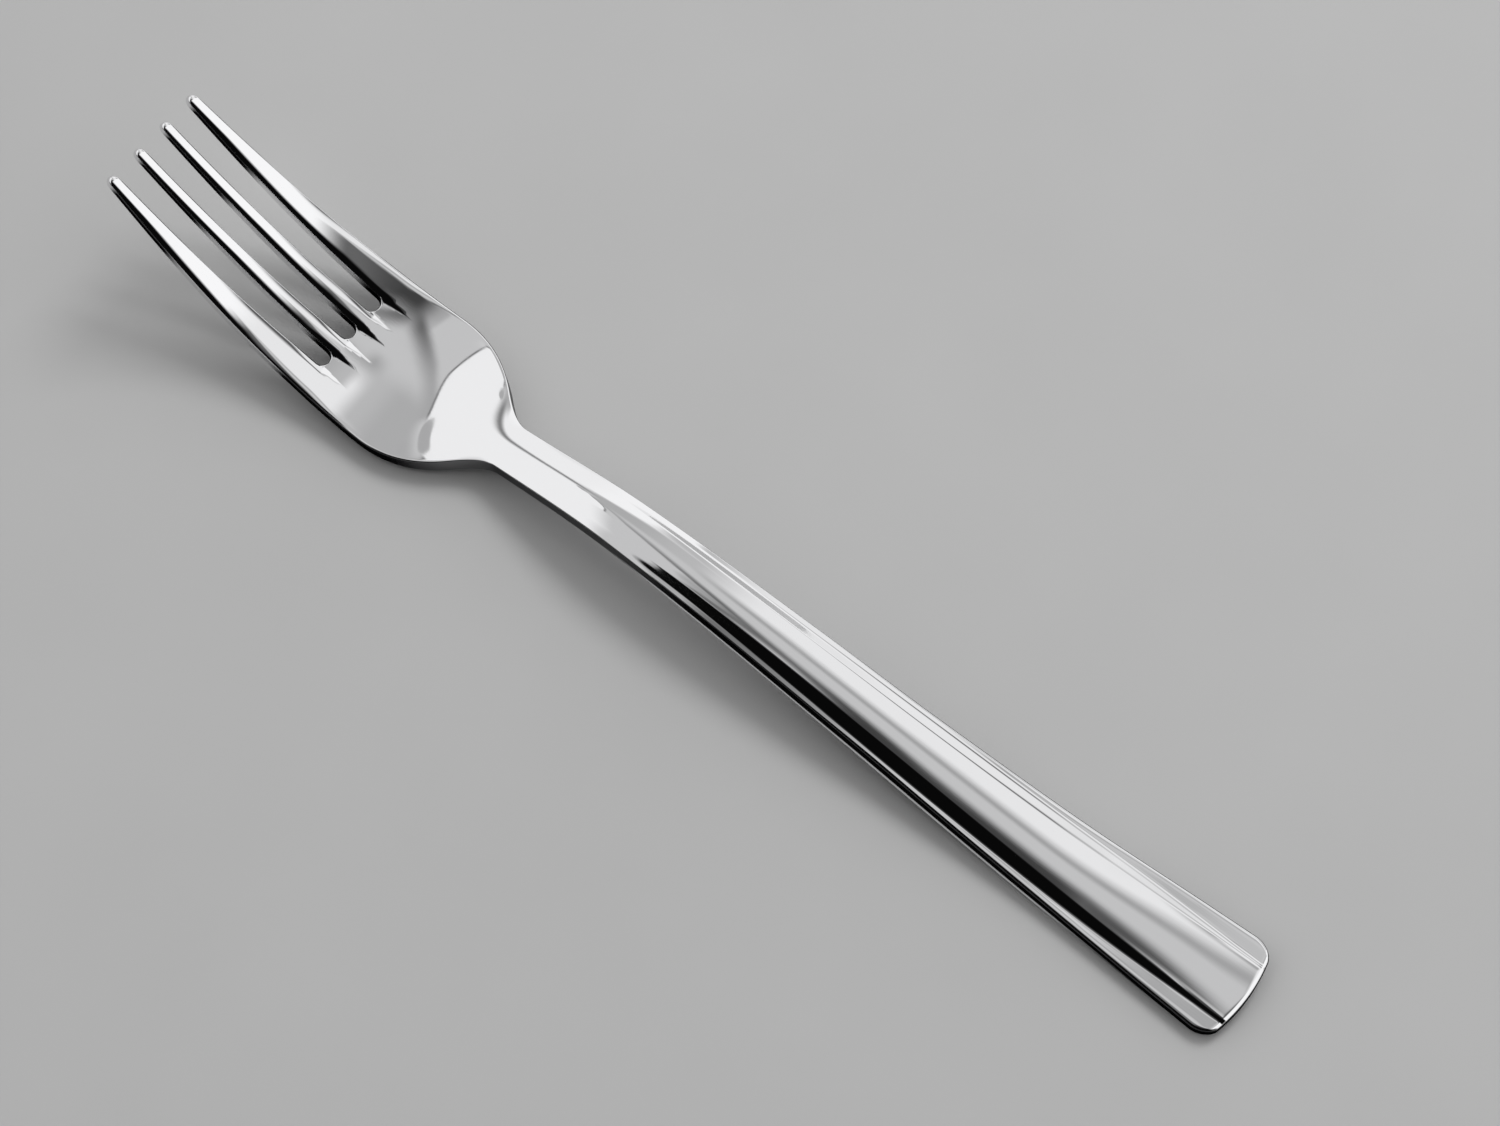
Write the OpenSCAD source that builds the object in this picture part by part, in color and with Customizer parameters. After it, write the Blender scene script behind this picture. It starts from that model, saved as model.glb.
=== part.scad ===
// Cake fork: one stamped and polished steel fork, modelled as its named regions.
// Y runs from the butt of the handle to the tine tips, X across, Z up from the table that it lies on.
// Every region is lofted from the same cross-sections, so neighbours meet face to face.

/* [Overall length] */
// Length of the fork seen from above, butt to tine tips
fork_length = 155; // [150:1:160]

/* [Side profile] */
// Length at the butt that lies flat on the table
rest_length = 20; // [10:1:30]
// Distance from the butt to the top of the handle's arch
crest_at = 85; // [75:1:92]
// Height of the underside at the top of the arch
crest_height = 4.5; // [3:0.1:7]
// Distance from the butt to the lowest point of the bowl
low_at = 116.4; // [112:0.2:120]
// Height of the underside at the tine tips
tip_rise = 16.9; // [12:0.1:22]
// Steepness of the tines at their tips, rise over run
tip_slope = 0.78; // [0.5:0.02:0.9]

/* [Outline from above] */
// Width of the handle at the butt, before its corners are rounded
butt_width = 12.6; // [11:0.2:15]
// How far the middle of the butt's bowed end stands out beyond its edges
end_bow = 1; // [0:0.1:1.5]
// Depth of the rounded butt corners along the handle
corner_length = 2.8; // [1:0.2:5]
// Depth of the rounded butt corners across the handle
corner_depth = 1.8; // [0.6:0.1:2]
// Width of the neck at its slimmest
neck_width = 5.7; // [4.6:0.1:7]
// Distance from the butt to the slimmest point of the neck
neck_at = 101.9; // [100:0.1:103]
// Width where the neck's hollow turns into the round shoulder
shoulder_width = 11.2; // [10:0.2:13]
// Distance from the butt to that turn
shoulder_at = 106.9; // [106:0.1:109]
// Greatest width of the head
head_width = 19.2; // [17:0.1:22]
// Distance from the butt to the greatest width
widest_at = 117.4; // [115:0.2:121]
// Width over the outer tines at their tips
tips_width = 14.6; // [13.6:0.1:16]

/* [Thickness] */
// Thickness on the middle line at the butt
butt_thickness = 2; // [1.9:0.1:2.6]
// Thickness on the middle line halfway along the handle
handle_thickness = 3.1; // [3:0.1:3.6]
// Thickness on the middle line at the thickest part of the handle
crest_thickness = 3.35; // [3.2:0.05:3.8]
// Thickness on the middle line of the neck
neck_thickness = 2.9; // [2.2:0.1:3.4]
// Thickness of the head and of the tines at their roots
head_thickness = 1.9; // [1.5:0.1:2.4]
// Thickness of the tines at their tips
tip_thickness = 1.45; // [1.1:0.05:1.8]
// How far the neck's edges lie below its crowned middle
neck_crown = 0.9; // [0.4:0.1:1.2]
// How far the head's side edges lift above its middle
dish_depth = 0.8; // [0:0.1:1.4]
// Radius that rounds the upper edges
edge_radius = 0.4; // [0.3:0.05:0.6]
// Radius that rounds the lower edges
under_radius = 0.4; // [0.2:0.05:0.5]

/* [Raised band and edge rails] */
// Height of the flat rails above the underside at the butt
rail_at_butt = 1.8; // [1.5:0.05:1.85]
// Height of the flat rails above the underside at the thickest part of the handle
rail_at_crest = 2.5; // [2.1:0.05:2.6]
// Height of the band's side slope at the butt
flank_at_butt = 0.1; // [0.05:0.05:0.15]
// Height of the band's side slope halfway along the handle
flank_at_middle = 0.68; // [0.5:0.02:0.8]
// Distance from the butt where the band and rails begin to die out
band_full_at = 74; // [60:1:80]
// Distance from the butt where they have died out into the neck
band_end_at = 92; // [86:1:96]

/* [Tines] */
// Distance between the centre lines of neighbouring slots
slot_pitch = 4.4; // [4.2:0.05:4.6]
// Distance from the butt to the round ends of the slots
slot_end_at = 126.4; // [124:0.2:130]
// Width of a slot at its round end
slot_root_width = 2.1; // [1.8:0.1:2.4]
// Width of a slot at the tips
slot_tip_width = 3.3; // [2.8:0.1:3.4]
// Radius that rounds the tines' upper edges along the slots
slot_edge_radius = 0.6; // [0.3:0.05:0.8]
// Length over which a tine's tip is rounded
tip_rounding = 0.9; // [0.5:0.1:1.4]

/* [Hidden] */
steel_colour = [0.80, 0.80, 0.81];

// Where one named region ends and the next begins, measured from the butt
handle_end = 90;
neck_end = 105;
tine_start = slot_end_at + slot_root_width / 2;
handle_quarter = 20;
handle_middle = 45;
flank_middle = 60;
thickest_at = 75;
neck_middle = 95;
dish_end = 143;

// The underside sinks a little at the butt and is cut off there, which leaves one flat face
rest_sink = 0.05;

// How far up the handle the bowed end still bends the cross-sections
bow_reach = 6;

// Length over which the rounding along the slots grows from nothing
rounding_run = 4;

// Spacing of the cross-sections along each region
handle_step = 3;
neck_step = 1.5;
head_step = 1.4;
tine_step = 1.5;
corner_steps = [0, 0.02, 0.08, 0.2, 0.4, 0.65];
tip_steps = [0.6, 0.3, 0.1, 0];
tip_end_size = 0.4;
tip_lean = tip_slope / sqrt(1 + tip_slope * tip_slope);
tip_setback = min([for (f = tip_steps) f * tip_rounding + tip_lean * (1 - tip_size(f)) * tip_thickness / 2]);
curve_end = fork_length + tip_setback;
slope_step = 0.01;

// Where the columns of a cross-section lie: inside the band, then from the groove out to the edge
band_columns = [0, 0.35, 0.7, 1];
rail_columns = [0.35, 0.65, 0.85, 0.95, 1];
tine_columns = [0, 0.05, 0.16, 0.36, 0.64, 0.84, 0.95, 1];
least_rail = 0.05;

// Tracks of a size along the fork: distance from the butt, value, slope
UNDERSIDE = [[0, -rest_sink, 0], [rest_length, -rest_sink, 0], [crest_at, crest_height, 0], [low_at, 0, 0],
             [curve_end, tip_rise, tip_slope]];
HALF_WIDTH = [[0, butt_width / 2, -0.041], [neck_at, neck_width / 2, -0.01],
              [shoulder_at, shoulder_width / 2, 0.87], [widest_at, head_width / 2, -0.02],
              [curve_end, tips_width / 2, -0.085]];
THICKNESS = [[0, butt_thickness, 0.03], [handle_middle, handle_thickness, 0.015],
             [thickest_at, crest_thickness, 0], [neck_middle, neck_thickness, -0.03],
             [low_at, head_thickness, 0], [slot_end_at, head_thickness, 0],
             [curve_end, tip_thickness, -0.015]];
CROWN = [[0, neck_crown, 0], [neck_middle, neck_crown, 0], [low_at - 4, 0, 0], [curve_end, 0, 0]];
DISH = [[0, 0, 0], [neck_at, 0, 0], [low_at, 0.85 * dish_depth, 0.02], [slot_end_at, dish_depth, 0],
        [dish_end, 0, 0], [curve_end, 0, 0]];
RAIL = [[0, rail_at_butt, 0.003], [handle_quarter, rail_at_butt + 0.1, 0.016],
        [handle_middle, rail_at_crest - 0.24, 0.007], [thickest_at, rail_at_crest, 0],
        [curve_end, rail_at_crest, 0]];
FLANK = [[0, flank_at_butt, 0.018], [handle_quarter, flank_at_middle - 0.24, 0.008],
         [flank_middle, flank_at_middle, 0], [thickest_at, flank_at_middle - 0.04, 0],
         [curve_end, flank_at_middle - 0.04, 0]];
GROOVE_SHARE = [[0, 0.61, 0.006], [handle_quarter, 0.76, 0.004], [50, 0.795, 0], [curve_end, 0.82, 0]];
CREASE_SHARE = [[0, 0.59, -0.001], [handle_middle, 0.545, 0], [65, 0.56, 0], [curve_end, 0.52, 0]];

// A smooth curve between two stations of a track
function between(a, b, y) =
    let (run = b[0] - a[0], t = (y - a[0]) / run, s = 1 - t)
    (1 + 2 * t) * s * s * a[1] + t * s * s * run * a[2] + t * t * (3 - 2 * t) * b[1] - t * t * s * run * b[2];

// The value of a track at a distance from the butt
function along(track, y, i = 0) =
    i >= len(track) - 2 || y <= track[i + 1][0]
        ? between(track[i], track[i + 1], y)
        : along(track, y, i + 1);

// How far a rounded edge of radius r has fallen at distance d inside it
function fall(d, r) = d >= r ? 0 : r - sqrt(max(0, r * r - (r - d) * (r - d)));

// Half the width, with the butt corners rounded
function corner(y) =
    y >= corner_length ? 0 : corner_depth * (1 - sqrt(max(0, 1 - pow(1 - y / corner_length, 2))));
function half_width(y) = along(HALF_WIDTH, y) - corner(y);

// One on the handle, where the band and rails are full, and nought on the neck
function band_share(y) =
    let (t = min(1, max(0, (band_end_at - y) / (band_end_at - band_full_at)))) t * t * (3 - 2 * t);

// Where the band's side slope ends in the groove, and where it meets the band's top
function groove_x(y) = min(along(GROOVE_SHARE, y) * along(HALF_WIDTH, y), half_width(y) - least_rail);
function crease_x(y) = along(CREASE_SHARE, y) * along(HALF_WIDTH, y);

function plain_top(x, y) = along(THICKNESS, y) - along(CROWN, y) * pow(x / along(HALF_WIDTH, y), 2);
function banded_top(x, y) =
    let (a = abs(x), crease = crease_x(y), groove = groove_x(y), middle = along(THICKNESS, y),
         rail = along(RAIL, y), shoulder = rail + along(FLANK, y))
    a <= crease ? middle - (middle - shoulder) * pow(a / crease, 2)
    : a <= groove ? shoulder + (rail - shoulder) * (a - crease) / (groove - crease)
    : rail;

// Heights of the upper and lower skins over the underside's middle line, before edges are rounded
function lift(x, y) = along(DISH, y) * pow(2 * x / head_width, 2);
function top(x, y) =
    let (share = band_share(y)) lift(x, y) + share * banded_top(x, y) + (1 - share) * plain_top(x, y);

// Where a cross-section's station lies at x across it, bent by the butt's bowed end
function bent(x, y) = y + end_bow * pow(2 * x / butt_width, 2) * max(0, 1 - y / bow_reach);

// Puts a point of a cross-section, x across and h up from the underside, into place
function place(x, y, h) =
    let (slope = (along(UNDERSIDE, y + slope_step) - along(UNDERSIDE, y - slope_step)) / (2 * slope_step),
         size = sqrt(1 + slope * slope))
    [x, y - fork_length / 2 - h * slope / size, along(UNDERSIDE, y) + h / size];

// One column of a cross-section: its upper and lower points, with inside the distance to the nearest edge
function column(x, y, inside) =
    let (at = bent(x, y), high = top(x, y) - fall(inside, edge_radius),
         low = lift(x, y) + fall(inside, under_radius))
    [place(x, at, high), place(x, at, low)];

// Columns across the handle, neck or head, from the left edge to the right
function half_columns(y) =
    let (crease = crease_x(y), groove = groove_x(y), edge = half_width(y))
    concat([for (f = band_columns) f * crease], [groove],
           [for (f = rail_columns) groove + f * (edge - groove)]);
function plate_section(y) =
    let (right = half_columns(y), n = len(right), edge = half_width(y))
    [for (k = [-(n - 1) : n - 1])
        let (x = sign(k) * right[abs(k)]) column(x, y, min(y, edge - abs(x)))];

// Columns across one tine, between its two edges; the tip is rounded in width and in thickness
function slot_half(y) =
    let (t = (y - slot_end_at) / (curve_end - slot_end_at))
    0.5 * (slot_root_width + t * (slot_tip_width - slot_root_width));
function tine_edges(place_number, y) =
    let (inner = slot_half(y), outer = place_number > 1 ? slot_pitch + inner : inner)
    [outer, place_number > 1 ? half_width(y) : slot_pitch - inner];
function tip_size(t) = tip_end_size + (1 - tip_end_size) * sqrt(1 - pow(1 - min(1, t), 2));
function tine_section(place_number, side, y) =
    let (edges = tine_edges(place_number, y), middle = (edges[0] + edges[1]) / 2,
         size = tip_size((curve_end - y) / tip_rounding),
         half = size * (edges[1] - edges[0]) / 2, round_under = min(under_radius, 0.8 * half),
         round_slot = min(slot_edge_radius * min(1, (y - tine_start) / rounding_run), 0.95 * half),
         round_outer = place_number > 1 ? min(edge_radius, 0.8 * half) : round_slot)
    [for (f = side > 0 ? tine_columns : [for (g = tine_columns) 1 - g])
        let (a = middle + half * (2 * f - 1), inside = 2 * half * min(f, 1 - f), x = side * a,
             high = top(x, y) - fall(inside, f > 0.5 ? round_outer : round_slot),
             low = lift(x, y) + fall(inside, round_under), level = (high + low) / 2)
        [place(x, y, level + size * (high - level)), place(x, y, level + size * (low - level))]];

// A closed skin over a row of cross-sections, each a row of columns
module loft(sections) {
    rows = len(sections);
    columns = len(sections[0]);
    per_row = 2 * columns;
    points = [for (row = sections) for (c = row) for (p = c) p];
    function high(r, c) = r * per_row + 2 * c;
    function low(r, c) = r * per_row + 2 * c + 1;
    skins = [for (r = [0 : rows - 2]) for (c = [0 : columns - 2])
        each [[high(r, c), high(r + 1, c), high(r + 1, c + 1)],
              [high(r, c), high(r + 1, c + 1), high(r, c + 1)],
              [low(r, c), low(r, c + 1), low(r + 1, c + 1)],
              [low(r, c), low(r + 1, c + 1), low(r + 1, c)]]];
    last = columns - 1;
    walls = [for (r = [0 : rows - 2])
        each [[high(r, 0), low(r, 0), low(r + 1, 0)], [high(r, 0), low(r + 1, 0), high(r + 1, 0)],
              [high(r, last), low(r + 1, last), low(r, last)],
              [high(r, last), high(r + 1, last), low(r + 1, last)]]];
    end = rows - 1;
    caps = [for (c = [0 : columns - 2])
        each [[high(0, c), high(0, c + 1), low(0, c + 1)],
              [high(0, c), low(0, c + 1), low(0, c)],
              [high(end, c), low(end, c + 1), high(end, c + 1)],
              [high(end, c), low(end, c), low(end, c + 1)]]];
    polyhedron(points, concat(skins, walls, caps), convexity = 6);
}

// Stations from one distance to another, evenly spaced at about the given step
function stations(from, to, step) =
    let (n = ceil((to - from) / step)) [for (i = [0 : n]) from + (to - from) * i / n];

// The handle: flat rails, grooves and the raised crowned band, rounded at the butt and cut flat beneath
module handle() {
    rows = concat([for (f = corner_steps) f * corner_length],
                  stations(corner_length, handle_end, handle_step));
    color(steel_colour) difference() {
        loft([for (y = rows) plate_section(y)]);
        translate([-butt_width, -fork_length, -1]) cube([2 * butt_width, 2 * fork_length, 1]);
    }
}

// The slim crowned neck
module neck() {
    color(steel_colour) loft([for (y = stations(handle_end, neck_end, neck_step)) plate_section(y)]);
}

// One slot's round end, standing upright through the head
module slot_end(x) {
    room = 40;
    reach = 6;
    translate([x, tine_start - fork_length / 2, 0]) {
        cylinder(d = slot_root_width, h = room, center = true, $fn = 48);
        translate([-slot_root_width / 2, 0, -room / 2]) cube([slot_root_width, reach, room]);
    }
}

// The shouldered, shallow-dished head, as far as the round ends of its three slots
module head() {
    color(steel_colour) difference() {
        loft([for (y = stations(neck_end, tine_start, head_step)) plate_section(y)]);
        for (i = [-1 : 1]) slot_end(i * slot_pitch);
    }
}

// One tine: place_number 1 is an inner tine and 2 an outer one, side is -1 for left and 1 for right
module tine(place_number, side) {
    straight = stations(tine_start, curve_end - tip_rounding, tine_step);
    tip = [for (f = tip_steps) curve_end - f * tip_rounding];
    color(steel_colour) loft([for (y = concat(straight, tip)) tine_section(place_number, side, y)]);
}

handle();
neck();
head();
tine(2, -1);  // tine_outer_left
tine(1, -1);  // tine_inner_left
tine(1, 1);  // tine_inner_right
tine(2, 1);  // tine_outer_right
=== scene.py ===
# Cake fork: the looks of a mirror-polished steel fork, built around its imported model.
import math

import bpy
import numpy as np
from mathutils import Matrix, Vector


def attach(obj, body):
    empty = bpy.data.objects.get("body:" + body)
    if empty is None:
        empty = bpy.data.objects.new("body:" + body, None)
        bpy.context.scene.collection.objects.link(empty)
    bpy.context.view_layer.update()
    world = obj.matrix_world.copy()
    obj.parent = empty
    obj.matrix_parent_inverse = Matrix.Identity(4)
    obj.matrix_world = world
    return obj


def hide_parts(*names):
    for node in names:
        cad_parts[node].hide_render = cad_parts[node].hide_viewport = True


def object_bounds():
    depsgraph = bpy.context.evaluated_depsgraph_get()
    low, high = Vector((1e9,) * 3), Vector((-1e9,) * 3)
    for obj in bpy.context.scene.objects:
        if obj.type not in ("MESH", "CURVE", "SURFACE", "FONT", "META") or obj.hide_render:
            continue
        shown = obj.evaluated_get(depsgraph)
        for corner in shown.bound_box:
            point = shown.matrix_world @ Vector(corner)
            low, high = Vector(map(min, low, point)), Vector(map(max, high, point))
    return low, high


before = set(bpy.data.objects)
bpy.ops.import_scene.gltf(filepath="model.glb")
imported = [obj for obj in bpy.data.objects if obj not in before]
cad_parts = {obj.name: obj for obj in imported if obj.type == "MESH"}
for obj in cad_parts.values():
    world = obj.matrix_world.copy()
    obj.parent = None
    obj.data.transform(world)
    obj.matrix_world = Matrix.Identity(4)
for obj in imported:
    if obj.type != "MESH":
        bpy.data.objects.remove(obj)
cad_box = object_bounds()

# Lengths are in millimetres until a mesh is made, and y is counted from the butt of the handle
MM = 0.001
FORK_LENGTH = (cad_box[1].y - cad_box[0].y) / MM

# The step that slopes are taken over, and the least length that is divided by
STEP = 0.01
TINY = 1e-6

# Places along the fork
HANDLE_END = 90.0
NECK_END = 105.0
REST_LENGTH = 20.0
CREST_AT = 85.0
NECK_AT = 101.9
LOW_AT = 116.4
WIDEST_AT = 117.4
SLOT_END_AT = 126.4
DISH_END = 143.0
BAND_FULL_AT = 74.0
BAND_END_AT = 92.0

# Heights of the underside's middle line; the rest dips a little and is cut flat at the floor
REST_DIP = 0.05
CREST_HEIGHT = 4.5
TIP_RISE = 16.79
TIP_SLOPE = 0.78
TIP_LEAN = TIP_SLOPE / math.hypot(1, TIP_SLOPE)

# Sizes of the butt, the head and the edges
HALF_BUTT = 6.3
HALF_HEAD = 9.598
END_BOW = 1.0
BOW_REACH = 6.0
CORNER_LENGTH = 2.8
CORNER_DEPTH = 1.8
EDGE_RADIUS = 0.3
TINE_EDGE_RADIUS = 0.2
SLOT_END_RADIUS = 0.12

# Sizes of the slots and the tines; a round tip is as wide as its tine is at the inset
SLOT_PLACES = (-1, 0, 1)
SLOT_PITCH = 4.4
SLOT_RADIUS = 1.05
HALF_SLOT_AT_TIP = 1.58
SLOT_CENTRE_AT = SLOT_END_AT + SLOT_RADIUS
TINE_ROUNDING_LENGTH = 12.0
TINE_ROUNDING_LIMIT = 0.95
TIP_INSET = 0.6
CURVE_END = FORK_LENGTH + TINE_EDGE_RADIUS * (1 + TIP_LEAN - math.hypot(1, TIP_LEAN))

# How softly the band's crease is rounded, and the width of the fine lip along it
CREASE_SOFTNESS = 0.06
FILLET_REACH = 0.3
LIP_WIDTH = 0.7

# The gentle roll of the top towards the sides and slots, the butt and the tips
ROLL_RADIUS = 3.0
END_ROLL_WIDTH = 0.8
END_ROLL_RADIUS = 1.8
TIP_ROLL_WIDTH = 0.7
TIP_ROLL_RADIUS = 1.2

# The valley that tapers from each slot's round end into the bowl, with one depth for each slot
VALLEY_LENGTH = 4.0
VALLEY_DEPTHS = (0.44, 0.42, 0.34)
VALLEY_DEPTH_POWER = 2
VALLEY_EDGE = 1.25
VALLEY_EDGE_SHARE = 0.55
VALLEY_FLANK = 1.1
VALLEY_FLANK_POWER = 1.2
VALLEY_FLANK_LEAST = 0.001
VALLEY_FADE = 5.0

# Tracks of a size along the fork: distance from the butt, value, slope
UNDERSIDE = [(0, -REST_DIP, 0), (REST_LENGTH, -REST_DIP, 0), (CREST_AT, CREST_HEIGHT, 0), (LOW_AT, 0, 0),
             (CURVE_END, TIP_RISE, TIP_SLOPE)]
HALF_WIDTH = [(0, HALF_BUTT, -0.041), (NECK_AT, 2.85, -0.01), (106.9, 5.6, 0.87),
              (WIDEST_AT, HALF_HEAD, -0.02), (CURVE_END, 7.3, -0.085)]
THICKNESS = [(0, 2.0, 0.03), (45, 3.1, 0.015), (75, 3.35, 0), (95, 2.9, -0.03), (LOW_AT, 1.9, 0),
             (SLOT_END_AT, 1.9, 0), (CURVE_END, 1.45, -0.015)]
CROWN = [(0, 0.9, 0), (95, 0.9, 0), (112.4, 0, 0), (CURVE_END, 0, 0)]
DISH = [(0, 0, 0), (NECK_AT, 0, 0), (LOW_AT, 0.68, 0.02), (SLOT_END_AT, 0.8, 0), (DISH_END, 0, 0),
        (CURVE_END, 0, 0)]
RAIL = [(0, 1.785, 0.003), (20, 1.9, 0.016), (45, 2.27, 0.007), (75, 2.52, 0), (CURVE_END, 2.52, 0)]
RAIL_TIP = [(0, 0.05, 0), (24, 0.06, 0), (45, -0.06, -0.004), (65, -0.1, 0), (CURVE_END, -0.1, 0)]
FLANK = [(0, 0.09, 0.018), (20, 0.44, 0.008), (60, 0.68, 0), (75, 0.64, 0), (CURVE_END, 0.64, 0)]
GROOVE_SHARE = [(0, 0.61, 0.006), (20, 0.76, 0.004), (50, 0.795, 0), (CURVE_END, 0.82, 0)]
CREASE_SHARE = [(0, 0.59, -0.001), (45, 0.545, 0), (65, 0.56, 0.001), (84, 0.63, 0.003),
                (CURVE_END, 0.65, 0)]
GROOVE_SOFTNESS = [(0, 0.12, 0), (74, 0.12, 0), (90, 0.5, 0), (CURVE_END, 0.5, 0)]
LIP_HEIGHT = [(0, 0.03, 0), (9, 0.03, 0), (22, 0.005, 0), (30, 0.005, 0), (45, 0.009, 0), (65, 0.04, 0),
              (CURVE_END, 0.04, 0)]
ROLL_WIDTH = [(0, 0.75, 0), (12, 0.75, 0), (26, 0.9, 0), (45, 0.4, 0), (56, 0.25, 0), (68, 0.12, 0),
              (86, 0.04, 0), (108, 0.04, 0), (WIDEST_AT, 0.5, 0), (SLOT_END_AT, 1.1, 0),
              (CURVE_END, 1.2, 0)]
EDGE_ROUND = [(0, EDGE_RADIUS, 0), (46, EDGE_RADIUS, 0), (62, 0.14, 0), (80, 0.1, 0), (104, 0.1, 0),
              (LOW_AT, EDGE_RADIUS, 0), (CURVE_END, EDGE_RADIUS, 0)]
TINE_DRIFT = [(0, 0, 0), (SLOT_END_AT, 0, 0), (CURVE_END, 0.2, 0.015)]
BUTT_TWIST = [(0, 0.03, 0), (8, 0.03, 0), (28, 0, 0), (CURVE_END, 0, 0)]

# Tracks for the walls: how far the top is set in over the foot, the foot's flare and the painted shade
FOOT_INSET = [(0, 0, 0), (4, 0, 0), (25, 0.16, 0), (45, 0.14, 0), (60, 0.04, 0), (88, 0, 0),
              (CURVE_END, 0, 0)]
FOOT_FLARE = [(0, 0, 0), (4, 0, 0), (25, 1, 0), (76, 1, 0), (88, 0, 0), (CURVE_END, 0, 0)]
# The painted shade along the fork: a dark wall colour in place of the shadowed floor the walls mirror
PAINTED_SHADE_TRACK = [(0, 1, 0), (72, 1, 0), (84, 0.7, 0), (106, 0.7, 0), (114, 1, 0), (128.5, 1, 0),
            (131.5, 0, 0), (144, 0, 0), (147.5, 1, 0), (153.6, 1, 0), (154.5, 0, 0), (CURVE_END, 0, 0)]


def along(track, y):
    """The value of a track at y, on smooth curves between its stations."""
    at, value, slope = np.array(track, float).T
    i = np.clip(np.searchsorted(at, y) - 1, 0, len(at) - 2)
    run = at[i + 1] - at[i]
    t = (y - at[i]) / run
    s = 1 - t
    start = (1 + 2 * t) * s * s * value[i] + t * s * s * run * slope[i]
    return start + t * t * (3 - 2 * t) * value[i + 1] - t * t * s * run * slope[i + 1]


def rate(track, y):
    """How fast a track rises at y."""
    return (along(track, y + STEP) - along(track, y - STEP)) / (2 * STEP)


def smooth(t):
    """A smooth step from nought to one."""
    t = np.clip(t, 0, 1)
    return t * t * (3 - 2 * t)


def soft_lower(a, b, k):
    """The lower of two heights, rounded where they cross."""
    return np.minimum(a, b) - np.maximum(k - np.abs(a - b), 0) ** 2 / (4 * k)


def soft_higher(a, b, k):
    """The higher of two heights, rounded where they cross."""
    return -soft_lower(-a, -b, k)


# The shape of the upper and lower skins, as heights over the underside's middle line
def corner(y):
    """How far the butt's rounded corners draw the sides in."""
    t = np.clip(1 - y / CORNER_LENGTH, 0, 1)
    return CORNER_DEPTH * (1 - np.sqrt(1 - t * t))


def half_width(y):
    return along(HALF_WIDTH, y) - corner(y)


def crease_x(y):
    return along(CREASE_SHARE, y) * along(HALF_WIDTH, y)


def groove_x(y):
    return along(GROOVE_SHARE, y) * along(HALF_WIDTH, y)


def lift(x, y):
    """How far the dish lifts the sides."""
    return along(DISH, y) * (x / HALF_HEAD) ** 2


def banded_top(x, y):
    """The handle's section: a crowned band, its side slopes and the flat rails."""
    a = np.abs(x)
    crease, groove = crease_x(y), groove_x(y)
    middle, flank = along(THICKNESS, y), along(FLANK, y)
    rail = along(RAIL, y)
    shoulder = rail + flank
    lip = along(LIP_HEIGHT, y) * np.clip((a - crease + LIP_WIDTH) / LIP_WIDTH, 0, 1) ** 2
    band = middle - (middle - shoulder) * (a / crease) ** 2 + lip
    side = shoulder - flank * (a - crease) / (groove - crease)
    edge = rail + along(RAIL_TIP, y) * (a - groove)
    return soft_higher(soft_lower(band, side, CREASE_SOFTNESS), edge, along(GROOVE_SOFTNESS, y))


def plain_top(x, y):
    """The section of the neck, head and tines: a plain crown that runs out in the head."""
    return along(THICKNESS, y) - along(CROWN, y) * (x / along(HALF_WIDTH, y)) ** 2


def nearest_slot(x):
    """The place of the nearest slot: -1, 0 or 1."""
    return np.clip(np.round(x / SLOT_PITCH), SLOT_PLACES[0], SLOT_PLACES[-1])


def valley(x, y):
    """How deep the valleys at the slot ends are."""
    start = SLOT_END_AT - VALLEY_LENGTH
    grow = np.clip((y - start) / VALLEY_LENGTH, 0, 1)
    fade = 1 - smooth((y - SLOT_END_AT) / VALLEY_FADE)
    nearest = nearest_slot(x)
    off = np.abs(x - nearest * SLOT_PITCH)
    flank = np.maximum(VALLEY_FLANK * grow ** VALLEY_FLANK_POWER, VALLEY_FLANK_LEAST)
    depth = np.array(VALLEY_DEPTHS)[nearest.astype(int) + 1]
    share = smooth((VALLEY_EDGE - off) / flank + VALLEY_EDGE_SHARE)
    return depth * grow ** VALLEY_DEPTH_POWER * fade * share


def half_slot(y):
    t = (y - SLOT_CENTRE_AT) / (CURVE_END - SLOT_CENTRE_AT)
    return SLOT_RADIUS + t * (HALF_SLOT_AT_TIP - SLOT_RADIUS)


def rolled(inset, width, radius):
    """How far a surface has rolled down at some distance in from its edge."""
    return np.maximum(width - inset, 0) ** 2 / (2 * radius)


def roll(x, y):
    """How far the top rolls down towards the sides, the slots, the butt and the tips."""
    width = along(ROLL_WIDTH, y)
    sides = rolled(half_width(y) - np.abs(x), width, ROLL_RADIUS)
    slots = [rolled(np.abs(x - k * SLOT_PITCH) - half_slot(y), width, ROLL_RADIUS) for k in SLOT_PLACES]
    growth = smooth((y - SLOT_END_AT) / VALLEY_FADE)
    butt = rolled(y - END_BOW * (x / HALF_BUTT) ** 2, END_ROLL_WIDTH, END_ROLL_RADIUS)
    tips = rolled(CURVE_END - y, TIP_ROLL_WIDTH, TIP_ROLL_RADIUS)
    return sides + growth * sum(slots) + butt + tips


def top(x, y):
    """The height of the upper skin."""
    share = smooth((BAND_END_AT - y) / (BAND_END_AT - BAND_FULL_AT))
    bare = share * banded_top(x, y) + (1 - share) * plain_top(x, y)
    return lift(x, y) + bare + along(BUTT_TWIST, y) * x - valley(x, y) - roll(x, y)


# Putting sections into place
def place(x, y, h):
    """Points x across and h up from the underside's middle line, which the sections stand square to."""
    slope = rate(UNDERSIDE, y)
    size = np.sqrt(1 + slope * slope)
    return np.stack([x + along(TINE_DRIFT, y), y - h * slope / size, along(UNDERSIDE, y) + h / size], -1)


def unit(v):
    return v / np.linalg.norm(v, axis=-1, keepdims=True)


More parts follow.
